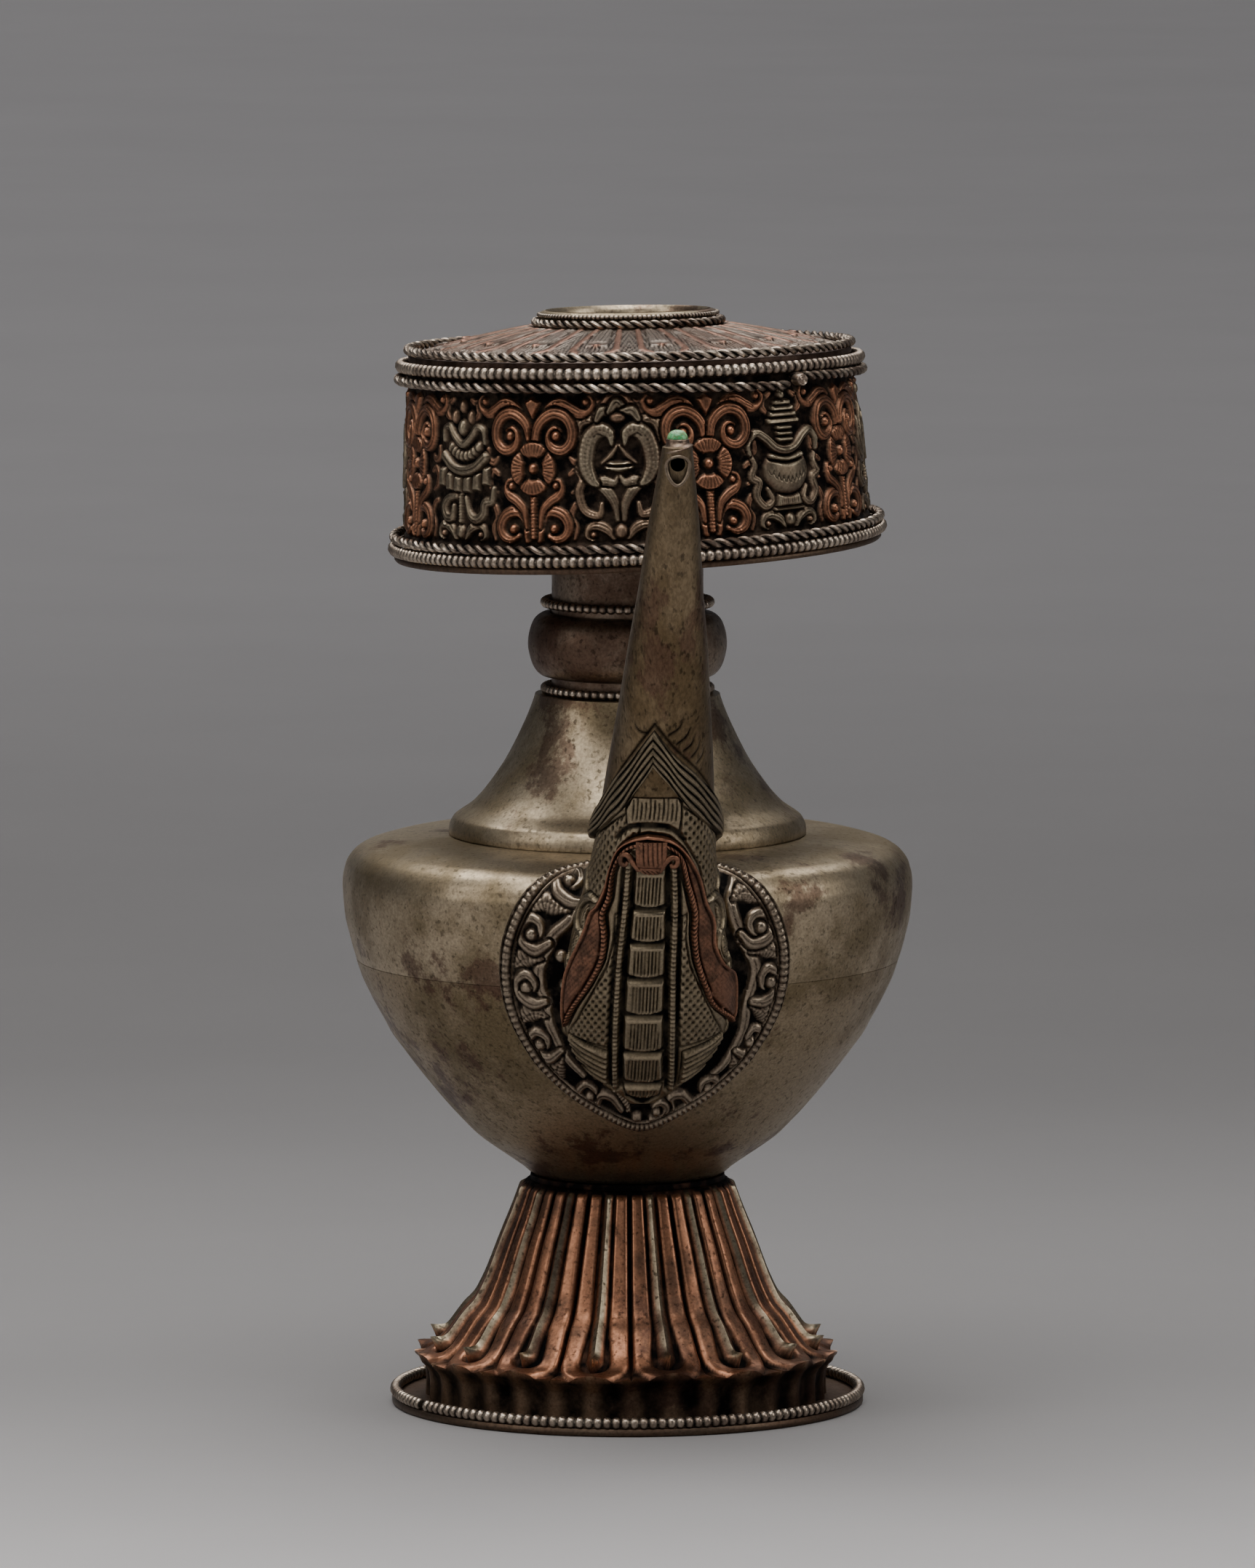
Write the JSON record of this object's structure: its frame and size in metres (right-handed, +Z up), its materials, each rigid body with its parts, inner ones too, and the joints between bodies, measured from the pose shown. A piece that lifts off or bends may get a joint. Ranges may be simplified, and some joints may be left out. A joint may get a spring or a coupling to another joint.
{
  "type": "bumpa vase",
  "caption": "Chased metal ritual vase with a drum head, lotus foot, makara spout and turquoise tip.",
  "frame": {"origin": "centre of the underside of the base plate", "axes": "+Z up through the mouth; the spout points along -Y, turned about four degrees towards +X"},
  "size_m": [0.1038, 0.1439, 0.2006],
  "materials": {
    "silvered_sheet": "silvered copper alloy, hand hammered, brown and olive tarnish",
    "spout_silver": "silvered copper alloy, smooth, brown tarnish",
    "chased_silver": "chased and hatched, black in the grooves",
    "plate_silver": "raised scrollwork with worn highs on a black ground",
    "beaded_wire": "rolled beaded wire, bright beads and dark grooves",
    "twisted_wire": "twisted wire, bright strands and dark grooves",
    "lotus_copper": "copper petals with silvered ribs and dark channels",
    "crown_copper": "embossed copper petals, dark ground",
    "chased_band": "raised copper scrolls and silvered emblems on a near black ground",
    "lip_copper": "warm copper, finely hatched",
    "dark_base": "dark brown patina",
    "turquoise": "polished green turquoise with dark veins"
  },
  "bodies": {
    "root": {"base_plate": "dark_base", "base_beaded_wire": "beaded_wire", "lotus_foot": "lotus_copper", "bowl": "silvered_sheet", "shoulder": "silvered_sheet", "neck_cone": "silvered_sheet", "neck_tube": "silvered_sheet", "neck_lower_beaded_ring": "beaded_wire", "neck_upper_beaded_ring": "beaded_wire", "neck_bulb": "silvered_sheet", "drum_floor": "dark_base", "drum_band": "chased_band", "drum_bottom_beaded_wire": "beaded_wire", "drum_bottom_twisted_wire": "twisted_wire", "drum_lower_twisted_wire": "twisted_wire", "drum_top_beaded_wire": "beaded_wire", "drum_upper_twisted_wire": "twisted_wire", "wire_end_ball": "beaded_wire", "crown_disc": "crown_copper", "mouth_collar": "silvered_sheet", "mouth_twisted_wire": "twisted_wire", "mouth_beaded_wire": "beaded_wire", "makara_head": "chased_silver", "spout_tube": "spout_silver", "copper_lips": "lip_copper", "plaited_collar": "chased_silver", "spout_plate": "plate_silver", "stone_bezel": "beaded_wire", "turquoise_stone": "turquoise"}
  },
  "joints": []
}
